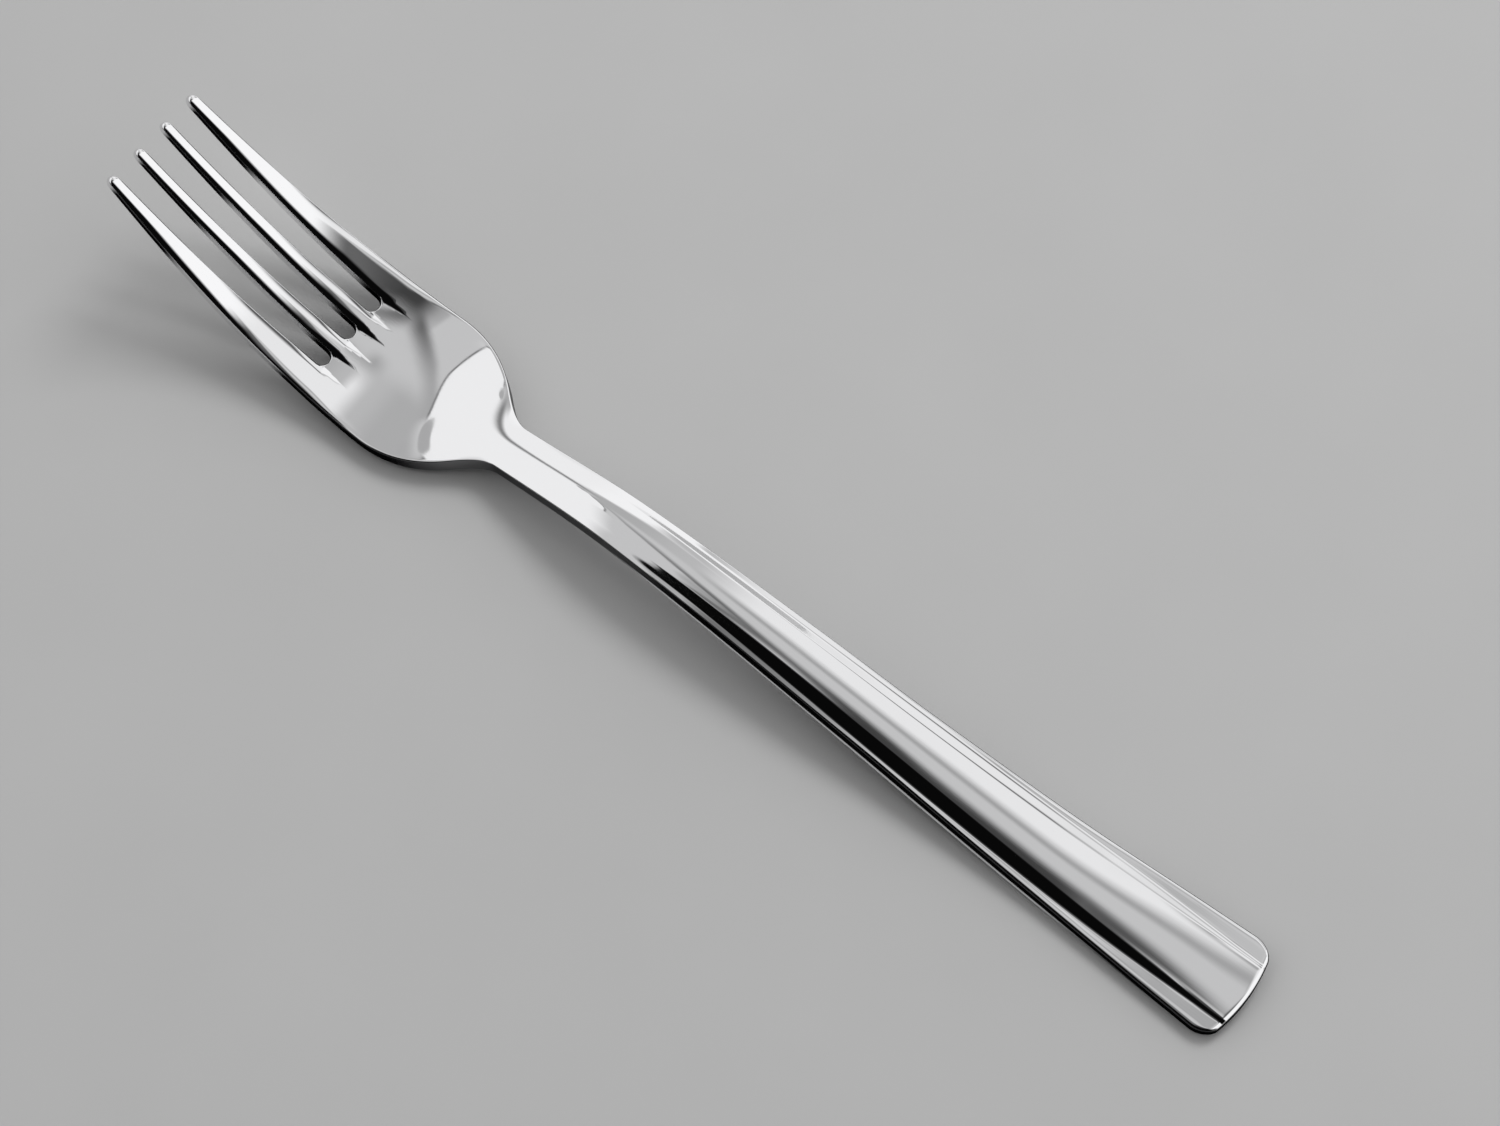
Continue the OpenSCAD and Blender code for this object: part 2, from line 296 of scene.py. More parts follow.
def skin_normal(height, x, y):
    """The upward normal of a skin given by its height."""
    right, left = x + STEP, x - STEP
    ahead, back = y + STEP, y - STEP
    across = place(right, y, height(right, y)) - place(left, y, height(left, y))
    onward = place(x, ahead, height(x, ahead)) - place(x, back, height(x, back))
    return unit(np.cross(across, onward))


def outward(out_x, out_y, y):
    """The direction out of an edge, from its direction in plan."""
    slope = rate(UNDERSIDE, y)
    size = np.sqrt(1 + slope * slope)
    return unit(np.stack([out_x, out_y / size, out_y * slope / size], -1))


def rounded_skin(height, x, y, inside, out, radius, up):
    """Points, normals and lean of a skin rounded off towards its edge; up is 1 on top and -1 beneath."""
    lean = 1 - np.clip(inside / radius, 0, 1)
    upright = np.sqrt(1 - lean * lean)
    points = place(x, y, height(x, y) - up * radius * (1 - upright))
    points[..., 2] = np.maximum(points[..., 2], 0)
    normals = unit(upright[..., None] * up * skin_normal(height, x, y) + lean[..., None] * out)
    return points, normals, lean


# The walls, from top to foot: share of the height left, then shares of the foot's flare, lean and polish
# Polish is the share of painted shade taken off again at the foot's flare
WALL = [(0.55, 0.0, 0.0, 0.0), (0.24, 0.0, 0.0, 0.0), (0.17, 0.3, 0.9, 0.9), (0.06, 0.9, 1.0, 1.0),
        (0.02, 1.0, 0.7, 1.0)]
FLARE_LEAN = math.radians(33)

# The lean at which painted shade begins on the rounded edges, the lean that it takes, and the share
# beneath
HIGH_SHADE_FROM = 0.5
HIGH_SHADE_OVER = 0.2
LOW_SHADE_FROM = 0.85
LOW_SHADE_OVER = 0.15
LOW_SHADE_SHARE = 0.5


class Grid:
    """Upper and lower skins over the same plan, row by row and column by column."""

    def __init__(self, x, y, inside, out_x, out_y, radius):
        inner_x = x * (1 - along(FOOT_INSET, y) / half_width(y))
        self.out = outward(out_x, out_y, y)
        self.flare = along(FOOT_FLARE, y)
        # Painted shade: a dark colour on the walls and outer edges for the shadowed floor that they
        # mirror
        self.wall_shade = along(PAINTED_SHADE_TRACK, y)
        self.high, self.high_normals, lean = rounded_skin(top, inner_x, y, inside, self.out, radius, 1)
        self.high_stamped = self.wall_shade * smooth((lean - HIGH_SHADE_FROM) / HIGH_SHADE_OVER)
        self.low, self.low_normals, lean = rounded_skin(lift, x, y, inside, self.out, radius, -1)
        self.low_stamped = LOW_SHADE_SHARE * self.wall_shade * smooth((lean - LOW_SHADE_FROM) / LOW_SHADE_OVER)

    def rows(self, first, last):
        """A copy of some of the rows."""
        part = object.__new__(Grid)
        for name, value in vars(self).items():
            setattr(part, name, value[first:last])
        return part


def quads(a, b, c, d):
    return np.stack([a, b, c, d], -1).reshape(-1, 4).tolist()


def skins_and_walls(grid):
    """Points, normals, painted shade shares and faces of a grid's two skins and of the walls round them.
    """
    rows, columns = grid.high.shape[:2]
    count = rows * columns
    index = np.arange(count).reshape(rows, columns)
    rim = np.concatenate([index[::-1, 0], index[0, 1:], index[1:, -1], index[-1, -2:0:-1]])
    high, low = grid.high.reshape(-1, 3), grid.low.reshape(-1, 3)
    points = [high, low]
    normals = [grid.high_normals.reshape(-1, 3), grid.low_normals.reshape(-1, 3)]
    stamped = [grid.high_stamped.ravel(), grid.low_stamped.ravel()]
    out = grid.out.reshape(-1, 3)[rim]
    flare, wall_shade = grid.flare.ravel()[rim], grid.wall_shade.ravel()[rim]
    loops = [rim]
    for height, spread, lean, polish in WALL:
        loops.append(2 * count + (len(loops) - 1) * len(rim) + np.arange(len(rim)))
        points.append(high[rim] + (low[rim] - high[rim]) * (spread, 1 - height, 1 - height))
        tilt = FLARE_LEAN * lean * flare[:, None]
        normals.append(np.cos(tilt) * out + np.sin(tilt) * (0, 0, 1))
        stamped.append(wall_shade * (1 - polish * flare))
    loops.append(count + rim)
    under = index + count
    faces = quads(index[:-1, :-1], index[:-1, 1:], index[1:, 1:], index[1:, :-1])
    faces += quads(under[:-1, :-1], under[1:, :-1], under[1:, 1:], under[:-1, 1:])
    for a, b in zip(loops, loops[1:]):
        faces += quads(a, b, np.roll(b, -1), np.roll(a, -1))
    return np.concatenate(points), np.concatenate(normals), np.concatenate(stamped), faces


def make_piece(name, grid, nodes, material):
    """A closed mesh from a grid, with its exact normals; it stands for the named nodes."""
    points, normals, stamped, faces = skins_and_walls(grid)
    mesh = bpy.data.meshes.new(name)
    mesh.from_pydata(((points - (0, FORK_LENGTH / 2, 0)) * MM).tolist(), [], faces)
    mesh.polygons.foreach_set("use_smooth", np.ones(len(mesh.polygons), bool))
    mesh.normals_split_custom_set_from_vertices(normals.tolist())
    # Each point's share of painted shade, which darkens the walls in the material
    mesh.attributes.new("stamped", "FLOAT", "POINT").data.foreach_set("value", stamped)
    mesh.materials.append(material)
    piece = bpy.data.objects.new(name, mesh)
    bpy.context.scene.collection.objects.link(piece)
    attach(piece, "root")
    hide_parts(*nodes)


# How finely the meshes are divided
RIM_STEPS = 10
BAND_STEPS = 12
STRIP_STEPS = 6
TINE_STEPS = 10
SLOT_DEGREES = 15
END_POINTS = 300
SIDE_POINTS = 900
HEAD_ROWS = 72
TINE_ROWS = 70
TIP_ROWS = 14
TIP_DEGREES = 88

# Rows of the handle and the neck after the butt's rounded edge: from, to, how many
PLATE_ROWS = [(0.56, 8, 40), (8.5, 70, 124), (70.25, HANDLE_END, 80), (HANDLE_END + 0.3, NECK_END, 50)]

# How a rounded edge is divided, as shares of its radius in from the edge
RIM = 1 - np.sin(np.radians(np.linspace(90, 0, RIM_STEPS)))

# Room kept between columns: the least gap, then shares of the strips beside the crease and the groove
LEAST_GAP = 0.1
FILLET_SHARE = 0.4
RIM_SHARE = 0.7
INNER_SHARE = 0.2

# Room before the rows at the slot ends, and how many bow reaches the butt's outline runs along the sides
ROW_GAP = 0.2
SIDE_REACH = 1.5


def between(a, b, count):
    """Evenly spaced columns from a up to but not at b."""
    return [a + (b - a) * i / count for i in range(count)]


def both_halves(right):
    """Columns across both halves, from those of the right half."""
    return np.concatenate([-right[:, :0:-1], right], 1)


def row_places(rows, x):
    """Rows repeated for every column of x."""
    return np.repeat(rows[:, None], x.shape[1], 1)


# The handle and the neck
def bent(x, y):
    """Where a row lies at x across it, bent by the butt's bowed end."""
    return y + END_BOW * (x / HALF_BUTT) ** 2 * np.maximum(0, 1 - y / BOW_REACH)


def plate_columns(y):
    """Columns across the right half of the handle or neck, at each row."""
    edge = half_width(y)
    groove = np.minimum(groove_x(y), edge - LEAST_GAP)
    crease = np.minimum(crease_x(y), groove - LEAST_GAP)
    reach = np.minimum(FILLET_REACH, FILLET_SHARE * (groove - crease))
    rim = np.minimum(along(EDGE_ROUND, y), RIM_SHARE * (edge - groove))
    inner = np.minimum(reach, INNER_SHARE * (edge - groove))
    columns = between(0 * y, crease - reach, BAND_STEPS)
    stops = [crease - reach, crease + reach, groove - reach, groove + inner, edge - rim]
    for a, b in zip(stops, stops[1:]):
        columns += between(a, b, STRIP_STEPS)
    return np.stack(columns + [edge - rim * share for share in RIM[::-1]], -1)


def butt_outline():
    """Points and outward directions along the rounded end of the handle, in plan."""
    side = BOW_REACH * np.linspace(0, 1, SIDE_POINTS) ** 2 * SIDE_REACH
    end_x = np.linspace(0, half_width(np.zeros(1))[0], END_POINTS)[:-1]
    x = np.concatenate([end_x, half_width(side)])
    y = np.concatenate([bent(end_x, 0 * end_x), bent(half_width(side), side)])
    out = unit(np.stack([np.gradient(y), -np.gradient(x)], -1))
    return np.stack([x, y], -1), out


def nearest_edge(x, y):
    """Distance in from the outline of the handle or neck, and the outward direction there."""
    slope = rate(HALF_WIDTH, y)
    size = np.sqrt(1 + slope * slope)
    inside = (half_width(y) - np.abs(x)) / size
    out_x, out_y = np.sign(x) / size, -slope / size
    near = y < BOW_REACH
    edge, out = butt_outline()
    spot = np.stack([np.abs(x[near]), y[near]], -1)
    closest = np.argmin(np.sum((spot[:, None] - edge[None]) ** 2, -1), 1)
    inside[near] = np.maximum(np.sum((edge[closest] - spot) * out[closest], -1), 0)
    out_x[near] = np.sign(x[near]) * out[closest, 0]
    out_y[near] = out[closest, 1]
    return inside, out_x, out_y


def make_handle_and_neck(material):
    rows = np.concatenate([EDGE_RADIUS * RIM] + [np.linspace(*stretch) for stretch in PLATE_ROWS])
    x = both_halves(plate_columns(rows))
    y = bent(x, row_places(rows, x))
    grid = Grid(x, y, *nearest_edge(x, y), along(EDGE_ROUND, y))
    split = int(np.searchsorted(rows, HANDLE_END)) + 1
    make_piece("handle_steel", grid.rows(0, split), ["handle"], material)
    make_piece("neck_steel", grid.rows(split - 1, len(rows)), ["neck"], material)


# The head: lanes that lead into the tines, and between them lanes that end at the slots' round ends
def tine_columns(a, b, slot_round, far_round):
    """Columns from a tine's inner edge to its outer one, closer together over the rounded edges."""
    columns = [a + slot_round * share for share in RIM[:-1]]
    columns += between(a + slot_round, b - far_round, TINE_STEPS)
    return columns + [b - far_round * share for share in RIM[::-1]]


def slot_columns(centre, first):
    """Columns across a slot lane, spaced like points round its end from the first angle on."""
    angles = np.radians(np.arange(first, 90, SLOT_DEGREES))
    return [centre + SLOT_RADIUS * math.sin(angle) for angle in angles]


def head_scale(y):
    """How wide the head is, as a share of its width at the slot ends' centre line."""
    return along(HALF_WIDTH, y) / along(HALF_WIDTH, SLOT_CENTRE_AT)


def head_columns(y):
    """Columns across the right half of the head, at each row."""
    scale = head_scale(y)
    lanes = slot_columns(0, 0)
    lanes += tine_columns(SLOT_RADIUS, SLOT_PITCH - SLOT_RADIUS, TINE_EDGE_RADIUS, TINE_EDGE_RADIUS)[:-1]
    lanes += slot_columns(SLOT_PITCH, -90)
    columns = [lane * scale for lane in lanes]
    inner = (SLOT_PITCH + SLOT_RADIUS) * scale
    columns += tine_columns(inner, along(HALF_WIDTH, y), TINE_EDGE_RADIUS * scale, along(EDGE_ROUND, y))
    return np.stack(columns, -1)


def slot_bend(x, y):
    """Rows in a slot lane, bent so that the last one follows the slot's round end."""
    plan_x = x / head_scale(y)
    off = np.clip(np.abs(plan_x - nearest_slot(plan_x) * SLOT_PITCH) / SLOT_RADIUS, 0, 1)
    end = SLOT_CENTRE_AT - SLOT_RADIUS * np.sqrt(1 - off * off)
    t = (end - WIDEST_AT) / (SLOT_CENTRE_AT - WIDEST_AT)
    return np.where(y > WIDEST_AT, WIDEST_AT + (y - WIDEST_AT) * t, y)


def head_edges(x, y):
    """Distance in from the head's side or nearest slot end, the way out and the edge's radius."""
    slope = rate(HALF_WIDTH, y)
    size = np.sqrt(1 + slope * slope)
    side = (along(HALF_WIDTH, y) - np.abs(x)) / size
    to_x, to_y = nearest_slot(x) * SLOT_PITCH - x, SLOT_CENTRE_AT - y
    reach = np.maximum(np.hypot(to_x, to_y), TINY)
    slot = np.maximum(reach - SLOT_RADIUS, 0)
    nearer = slot < side
    inside = np.where(nearer, slot, side)
    out_x = np.where(nearer, to_x / reach, np.sign(x) / size)
    out_y = np.where(nearer, to_y / reach, -slope / size)
    slot_round = SLOT_END_RADIUS + (TINE_EDGE_RADIUS - SLOT_END_RADIUS) * (to_x / reach) ** 2
    return inside, out_x, out_y, np.where(nearer, slot_round, along(EDGE_ROUND, y))


def make_head(material):
    ends = SLOT_CENTRE_AT - TINE_EDGE_RADIUS * RIM[::-1]
    rows = np.concatenate([np.linspace(NECK_END, ends[0] - ROW_GAP, HEAD_ROWS), ends])
    x = both_halves(head_columns(rows))
    y = slot_bend(x, row_places(rows, x))
    make_piece("head_steel", Grid(x, y, *head_edges(x, y)), ["head"], material)


# The tines
def tine_edges(outer, y):
    """Where the two sides of a right-hand tine lie."""
    if outer:
        return SLOT_PITCH + half_slot(y), along(HALF_WIDTH, y)
    return half_slot(y), SLOT_PITCH - half_slot(y)


def far_radius(outer, y):
    """The radius of a tine's edge away from the middle."""
    if not outer:
        return TINE_EDGE_RADIUS
    growth = smooth((y - SLOT_CENTRE_AT) / TINE_ROUNDING_LENGTH)
    return EDGE_RADIUS + growth * (TINE_EDGE_RADIUS - EDGE_RADIUS)


def tine_grid(outer, side):
    """One tine, from the slot ends' centre line to its round tip."""
    a, b = tine_edges(outer, CURVE_END - TIP_INSET)
    tip_half = (b - a) / 2
    tip_at = CURVE_END - tip_half
    middle = sum(tine_edges(outer, tip_at)) / 2
    turn = np.radians(np.linspace(0, TIP_DEGREES, TIP_ROWS))[1:]
    lower_rows = np.linspace(SLOT_CENTRE_AT, tip_at, TINE_ROWS)
    rows = np.concatenate([lower_rows, tip_at + tip_half * np.sin(turn)])
    a, b = tine_edges(outer, np.minimum(rows, tip_at))
    centre, straight = (a + b) / 2, (b - a) / 2
    in_tip = np.sqrt(np.maximum(tip_half ** 2 - (rows - tip_at) ** 2, 0))
    half = np.where(rows > tip_at, in_tip, straight)
    far = far_radius(outer, rows)
    slot_round = np.minimum(TINE_EDGE_RADIUS, TINE_ROUNDING_LIMIT * half)
    far_round = np.minimum(far, TINE_ROUNDING_LIMIT * half)
    x = np.stack(tine_columns(centre - half, centre + half, slot_round, far_round), -1)
    y = row_places(rows, x)
    beyond = y > tip_at
    from_a, from_b = x - (centre - half)[:, None], (centre + half)[:, None] - x
    reach = np.maximum(np.hypot(x - middle, y - tip_at), TINY)
    inside = np.where(beyond, np.maximum(tip_half - reach, 0), np.minimum(from_a, from_b))
    out_x = np.where(beyond, (x - middle) / reach, np.where(from_a < from_b, -1.0, 1.0))
    out_y = np.where(beyond, (y - tip_at) / reach, 0.0)
    straight_slot = np.minimum(TINE_EDGE_RADIUS, TINE_ROUNDING_LIMIT * straight)[:, None]
    straight_far = np.minimum(far, TINE_ROUNDING_LIMIT * straight)[:, None]
    radius = np.where(from_a < from_b, straight_slot, straight_far)
    values = [side * x, y, inside, side * out_x, out_y, radius]
    return Grid(*[value[:, ::side] for value in values])


def make_tines(material):
    for outer, row_name in ((True, "outer"), (False, "inner")):
        for side, side_name in ((-1, "left"), (1, "right")):
            node = f"tine_{row_name}_{side_name}"
            make_piece(node + "_steel", tine_grid(outer, side), [node], material)


# Shader nodes; the Mix node's colour sockets have no names of their own, so they go by number
MIX_A = 6
MIX_B = 7
MIX_RESULT = 2


def add(tree, kind, inputs, **settings):
    """A new node with its settings; each input is a plain value or another node's output."""
    node = tree.nodes.new("ShaderNode" + kind)
    for name, value in settings.items():
        setattr(node, name, value)
    for socket, value in inputs.items():
        if isinstance(value, bpy.types.NodeSocket):
            tree.links.new(value, node.inputs[socket])
        else:
            node.inputs[socket].default_value = value
    return node


def maths(tree, operation, a, b=0.0, c=0.0):
    return add(tree, "Math", {0: a, 1: b, 2: c}, operation=operation).outputs[0]


def ramp(tree, value, start, end, low=0.0, high=1.0):
    """Goes softly from low to high while the value goes from start to end."""
    inputs = {"Value": value, "From Min": start, "From Max": end, "To Min": low, "To Max": high}
    return add(tree, "MapRange", inputs, interpolation_type="SMOOTHSTEP").outputs[0]


def blend(tree, share, a, b):
    """Goes straight from a to b while the share goes from nought to one."""
    return add(tree, "MapRange", {"Value": share, "To Min": a, "To Max": b}).outputs[0]


def mixed(tree, share, a, b):
    """Goes from colour a to colour b while the share goes from nought to one."""
    inputs = {"Factor": share, MIX_A: a, MIX_B: b}
    return add(tree, "Mix", inputs, data_type="RGBA").outputs[MIX_RESULT]


def ridge(tree, value, middle, half):
    """One at the middle, falling softly to nought at half the width on either side."""
    off = maths(tree, "ABSOLUTE", maths(tree, "SUBTRACT", value, middle))
    return ramp(tree, off, half, 0.0)


def spots(tree, spot, stretch, detail):
    """Cloudy noise with about as many spots a metre each way as the stretch says."""
    scaled = add(tree, "Mapping", {"Vector": spot, "Scale": stretch}).outputs[0]
    return add(tree, "TexNoise", {"Vector": scaled, "Scale": 1.0, "Detail": detail}).outputs["Fac"]


# Materials: colours, each noise's spots a metre and its detail, roughness, depths in metres, floor tones
POLISHED_COLOUR = (0.80, 0.80, 0.81, 1)
# Painted shade: a near-black wall colour and edge tint that stand for the shadowed floor the walls
# mirror
PAINTED_SHADE_COLOUR = (0.07, 0.07, 0.072, 1)
POLISHED_EDGE = (1, 1, 1, 1)
PAINTED_SHADE_EDGE = (0, 0, 0, 1)
LINES = ((9000, 160, 9000), 2.0)
SMUDGES = ((260, 120, 260), 4.0)
WAVES = ((150, 90, 150), 0.0)
FLOOR_CLOUDS = ((40, 40, 40), 3.0)
SMUDGE_ROUGHNESS = (0.45, 0.75, 0.03, 0.075)
LINE_ROUGHNESS = 0.02
PAINTED_SHADE_ROUGHNESS = 0.25
FLOOR_ROUGHNESS = 0.6
WAVE_DEPTH = 0.000012
LINE_DEPTH = 0.0000006
FLOOR_TONES = (0.45, 0.48)


def new_material(name):
    material = bpy.data.materials.new(name)
    material.use_nodes = True
    return material, material.node_tree, material.node_tree.nodes["Principled BSDF"]


def polished_steel():
    """Polished steel with fine lines, smudges and a little waviness; painted shade makes the walls dark
    and rough.
    """
    material, tree, shader = new_material("polished_steel")
    shader.inputs["Metallic"].default_value = 1.0
    # The painted shade darkens the colour and edge tint of the walls and makes them rougher
    stamped = add(tree, "Attribute", {}, attribute_name="stamped").outputs["Fac"]
    tree.links.new(mixed(tree, stamped, POLISHED_COLOUR, PAINTED_SHADE_COLOUR), shader.inputs["Base Color"])
    tree.links.new(mixed(tree, stamped, POLISHED_EDGE, PAINTED_SHADE_EDGE), shader.inputs["Specular Tint"])
    spot = tree.nodes.new("ShaderNodeTexCoord").outputs["Object"]
    lines = spots(tree, spot, *LINES)
    hazed = ramp(tree, spots(tree, spot, *SMUDGES), *SMUDGE_ROUGHNESS)
    lined = maths(tree, "ADD", hazed, blend(tree, lines, -LINE_ROUGHNESS, LINE_ROUGHNESS))
    rough = maths(tree, "MULTIPLY_ADD", stamped, PAINTED_SHADE_ROUGHNESS, lined)
    tree.links.new(rough, shader.inputs["Roughness"])
    waves = {"Height": spots(tree, spot, *WAVES), "Strength": 1.0, "Distance": WAVE_DEPTH}
    wavy = add(tree, "Bump", waves).outputs[0]
    scores = {"Height": lines, "Strength": 1.0, "Distance": LINE_DEPTH, "Normal": wavy}
    tree.links.new(add(tree, "Bump", scores).outputs[0], shader.inputs["Normal"])
    return material


def floor_material():
    """A matt pale floor with a faint cloudiness."""
    material, tree, shader = new_material("pale_floor")
    spot = tree.nodes.new("ShaderNodeTexCoord").outputs["Object"]
    tone = blend(tree, spots(tree, spot, *FLOOR_CLOUDS), *FLOOR_TONES)
    tree.links.new(tone, shader.inputs["Base Color"])
    shader.inputs["Roughness"].default_value = FLOOR_ROUGHNESS
    return material


# Stage, camera and lamp: target, distance, sensor and lens in millimetres, other lengths in metres
FLOOR_HALF = 3.0
AZIMUTH = math.radians(-51.72)
ELEVATION = math.radians(68.03)
TARGET = (6.98, 73.29)
CAMERA_DISTANCE = 373.2
SENSOR_WIDTH = 36
LENS = 79.2
CLIP_START = 0.01
LAMP_AT = (0.66, 0.05, 0.75)
LAMP_SIZE = 0.4
LAMP_POWER = 4.6


def make_floor():
    mesh = bpy.data.meshes.new("floor")
    corners = [(-1, -1), (1, -1), (1, 1), (-1, 1)]
    mesh.from_pydata([(x * FLOOR_HALF, y * FLOOR_HALF, 0) for x, y in corners], [], [(0, 1, 2, 3)])
    mesh.materials.append(floor_material())
    floor = bpy.data.objects.new("floor", mesh)
    bpy.context.scene.collection.objects.link(floor)


def make_camera():
    """The photograph's camera: its direction from the target, its distance and its lens."""
    level = math.cos(ELEVATION)
    back = Vector((math.sin(AZIMUTH) * level, -math.cos(AZIMUTH) * level, math.sin(ELEVATION)))
    target = Vector((TARGET[0], TARGET[1] - FORK_LENGTH / 2, 0)) * MM
    data = bpy.data.cameras.new("camera")
    data.sensor_width = SENSOR_WIDTH
    data.lens = LENS
    data.clip_start = CLIP_START
    camera = bpy.data.objects.new("camera", data)
    camera.location = target + back * (CAMERA_DISTANCE * MM)
    camera.rotation_euler = back.to_track_quat("Z", "Y").to_euler()
    bpy.context.scene.collection.objects.link(camera)
    bpy.context.scene.camera = camera


def make_lamp():
    """A soft round lamp high on the right, kept out of what the polish mirrors."""
    data = bpy.data.lights.new("lamp", "AREA")
    data.shape = "DISK"
    data.size = LAMP_SIZE
    data.energy = LAMP_POWER
    lamp = bpy.data.objects.new("lamp", data)
    lamp.visible_glossy = False
    lamp.location = LAMP_AT
    lamp.rotation_euler = lamp.location.to_track_quat("Z", "Y").to_euler()
    bpy.context.scene.collection.objects.link(lamp)


# The studio, by direction: x and y are degrees from overhead, to the fork's right and past its tips
WHITE = 1.1
BLACK = 0.003

# A pair is where a change begins and ends, and two more numbers are the values that it goes between

# The canopy's left: a black flag, whose edge slides sideways in front and beyond, and then grey
FRONT_FROM = -4.0
FRONT_SLIDE = 0.3
FRONT_CURVE = -0.02
BEYOND_FROM = 8.0
BEYOND_CURVE = 0.8
FLAG_EDGE = (-14.0, 0.0)
FLAG_TONE_BEYOND = (0.0, 9.0, 0.06, 0.46)
FLAG_TONE_IN_FRONT = (-4.0, -14.0, 0.0, 0.09)
GREY_EDGE = (1.6, 9.4)
GREY = 0.66

# The canopy's near part: a seam and a dark line, each a middle and half a width, and a white end
NEAR_TURN = -0.35
NEAR_SEAM = (17.5, 3.4)
NEAR_SEAM_END = (-13.0, -6.0)
NEAR_SEAM_TONE = 0.44
NEAR_WHITE_EDGE = (19.0, 24.5)
NEAR_WHITE = 0.98
DARK_LINE = (50.0, 16.0)
DARK_LINE_SHARE = (2.5, 0.0, 0.5, 1.0)
DARK_LINE_TONE = 0.1

# The canopy's far part: grey that steps down, and a white end
FAR_GREY_EDGE = (15.0, 20.0)
FAR_GREY = (10.0, 20.0, 0.58, 0.5)
FAR_WHITE_EDGE = (29.0, 34.0)
NEAR_TO_FAR = (3.0, 10.0)

# A dark streak that slants across the canopy
STREAK_SLANT = -0.48
STREAK_LEFT = (0.3, 2.5)
STREAK_RIGHT = (7.1, 2.5)
STREAK_START = (-2.0, 7.0)
STREAK_TONE = (-2.0, 26.0, 0.08, 0.46)

# The lower edge of the panel behind; its crisp part and its dark rim are a middle and half a width
PANEL_EDGE = (11.0, 21.0, 27.5, 34.0)
PANEL_CRISP = (13.0, 9.0)
PANEL_CRISP_FADE = (0.0, 0.3)
PANEL_BLUR = (0.0, 0.3, 5.0, 0.4)
PANEL_RIM = (-0.5, 0.7)
PANEL_RIM_TONE = 0.18

# The face of the panel behind: its seam, a middle and half a width, its spot and its dark left end
PANEL_WHITE = 1.04
PANEL_SEAM = (25.3, 5.0)
PANEL_SEAM_TONE = 0.26
SPOT_X = 20.6
SPOT_Y = 35.2
SPOT_EDGE = (1.9, 1.4)
SPOT_TONE = 0.48
PANEL_DARK_EDGE = (-48.0, -62.0)
PANEL_DARK = 0.05

# The panel in front, and the pale strip low down all round
FRONT_EDGE = (-15.5, -25.0)
FRONT_TONE = (-9.0, 3.0, BLACK, 1.16)
STRIP_EDGE = (78.0, 86.0)
STRIP_TONE = (-45.0, -10.0, BLACK, 0.95)

# The least sine of the angle from overhead that is divided by
LEAST_SINE = 0.001


def sky_angles(tree):
    """A ray's direction in degrees from overhead: in all, towards +X and towards +Y."""
    looks = tree.nodes.new("ShaderNodeTexCoord").outputs["Generated"]
    east, north, up = add(tree, "SeparateXYZ", {0: looks}).outputs
    from_top = maths(tree, "MULTIPLY", maths(tree, "ARCCOSINE", up), 180 / math.pi)
    level = maths(tree, "SQRT", maths(tree, "MULTIPLY_ADD", up, maths(tree, "MULTIPLY", up, -1.0), 1.0))
    share = maths(tree, "DIVIDE", from_top, maths(tree, "MAXIMUM", level, LEAST_SINE))
    return from_top, maths(tree, "MULTIPLY", east, share), maths(tree, "MULTIPLY", north, share)


def canopy_left(tree, x, y, front):
    """The black flag and the grey after it."""
    beyond = maths(tree, "MAXIMUM", maths(tree, "SUBTRACT", y, BEYOND_FROM), 0.0)
    slide = maths(tree, "MULTIPLY_ADD", front, FRONT_CURVE, FRONT_SLIDE)
    slid = maths(tree, "MULTIPLY_ADD", front, slide, x)
    slid = maths(tree, "MULTIPLY_ADD", maths(tree, "MULTIPLY", beyond, beyond), BEYOND_CURVE, slid)
    tone = maths(tree, "ADD", ramp(tree, y, *FLAG_TONE_BEYOND), ramp(tree, y, *FLAG_TONE_IN_FRONT))
    flag = blend(tree, ramp(tree, slid, *FLAG_EDGE), BLACK, tone)
    return blend(tree, ramp(tree, slid, *GREY_EDGE), flag, GREY)


def canopy_near(tree, x, y, front, grey):
    """The near part: grey with a seam, then white with a dark line."""
    turned = maths(tree, "MULTIPLY_ADD", front, NEAR_TURN, x)
    seam = maths(tree, "MULTIPLY", ridge(tree, turned, *NEAR_SEAM), ramp(tree, y, *NEAR_SEAM_END))
    near = blend(tree, seam, grey, NEAR_SEAM_TONE)
    near = blend(tree, ramp(tree, turned, *NEAR_WHITE_EDGE), near, NEAR_WHITE)
    line = maths(tree, "MULTIPLY", ridge(tree, x, *DARK_LINE), ramp(tree, y, *DARK_LINE_SHARE))
    return blend(tree, line, near, DARK_LINE_TONE)


def canopy_far(tree, x, y, grey):
    """The far part: two greys, then white."""
    far = blend(tree, ramp(tree, x, *FAR_GREY_EDGE), grey, ramp(tree, y, *FAR_GREY))
    return blend(tree, ramp(tree, x, *FAR_WHITE_EDGE), far, WHITE)


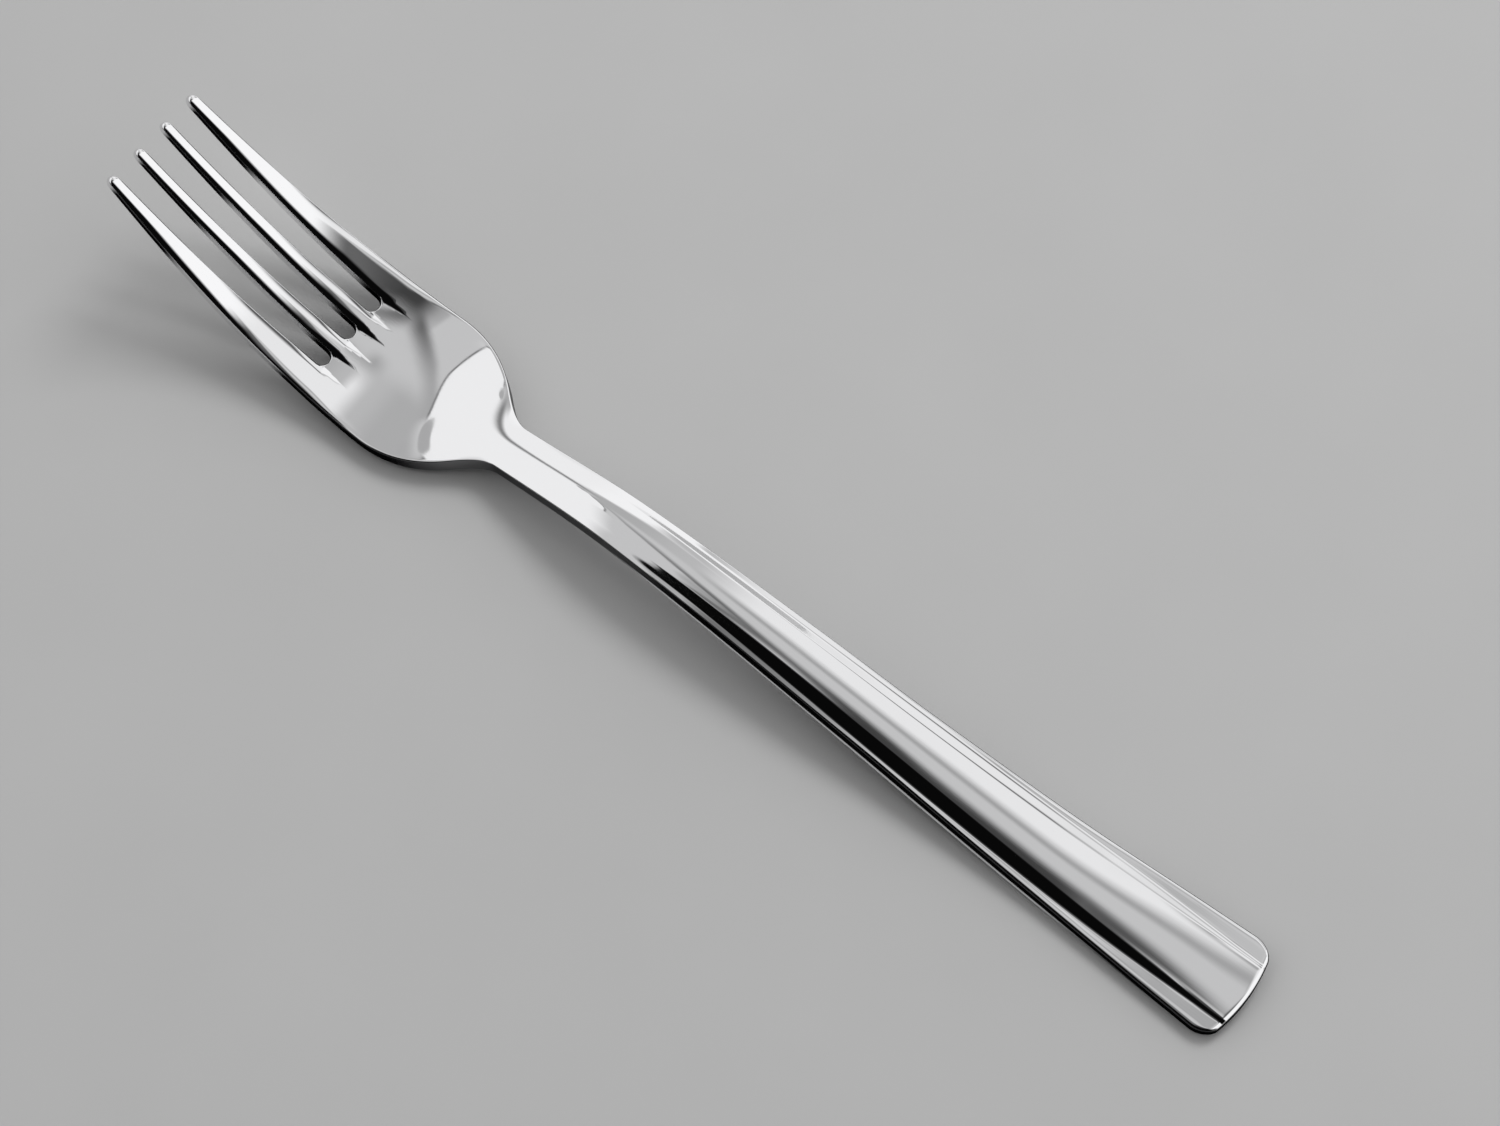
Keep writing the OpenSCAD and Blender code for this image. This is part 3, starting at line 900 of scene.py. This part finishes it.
def canopy(tree, x, y):
    """Overhead: a grey canopy with a black flag on the left, a white end on the right and a streak."""
    front = maths(tree, "MINIMUM", maths(tree, "SUBTRACT", y, FRONT_FROM), 0.0)
    grey = canopy_left(tree, x, y, front)
    near, far = canopy_near(tree, x, y, front, grey), canopy_far(tree, x, y, grey)
    light = blend(tree, ramp(tree, y, *NEAR_TO_FAR), near, far)
    slant = maths(tree, "MULTIPLY_ADD", y, STREAK_SLANT, x)
    streak = maths(tree, "MULTIPLY", ramp(tree, slant, *STREAK_LEFT), ramp(tree, slant, *STREAK_RIGHT))
    streak = maths(tree, "MULTIPLY", streak, ramp(tree, y, *STREAK_START))
    return blend(tree, streak, light, ramp(tree, y, *STREAK_TONE))


def back_panel(tree, x, y):
    """Beyond the tines: white, with one grey seam and one grey spot, and dark at the far left."""
    light = blend(tree, ridge(tree, x, *PANEL_SEAM), PANEL_WHITE, PANEL_SEAM_TONE)
    off_x = maths(tree, "SUBTRACT", x, SPOT_X)
    off_y = maths(tree, "SUBTRACT", y, SPOT_Y)
    square = maths(tree, "MULTIPLY_ADD", off_x, off_x, maths(tree, "MULTIPLY", off_y, off_y))
    light = blend(tree, ramp(tree, maths(tree, "SQRT", square), *SPOT_EDGE), light, SPOT_TONE)
    return blend(tree, ramp(tree, x, *PANEL_DARK_EDGE), light, PANEL_DARK)


def make_world():
    """A white studio: a canopy overhead, a panel behind, one in front, and a pale strip low down."""
    world = bpy.data.worlds.new("studio")
    world.use_nodes = True
    bpy.context.scene.world = world
    tree = world.node_tree
    from_top, x, y = sky_angles(tree)
    past = maths(tree, "SUBTRACT", y, ramp(tree, x, *PANEL_EDGE))
    crisp = ridge(tree, x, *PANEL_CRISP)
    rim = maths(tree, "MULTIPLY", ridge(tree, past, *PANEL_RIM), ramp(tree, crisp, *PANEL_CRISP_FADE))
    light = blend(tree, rim, canopy(tree, x, y), PANEL_RIM_TONE)
    blur = ramp(tree, crisp, *PANEL_BLUR)
    shown = ramp(tree, past, maths(tree, "MULTIPLY", blur, -1.0), blur)
    light = blend(tree, shown, light, back_panel(tree, x, y))
    light = blend(tree, ramp(tree, y, *FRONT_EDGE), light, ramp(tree, x, *FRONT_TONE))
    light = blend(tree, ramp(tree, from_top, *STRIP_EDGE), light, ramp(tree, x, *STRIP_TONE))
    tree.links.new(light, tree.nodes["Background"].inputs["Color"])


bpy.context.scene.view_settings.view_transform = "Standard"
steel = polished_steel()
make_handle_and_neck(steel)
make_head(steel)
make_tines(steel)
make_floor()
make_camera()
make_world()
make_lamp()
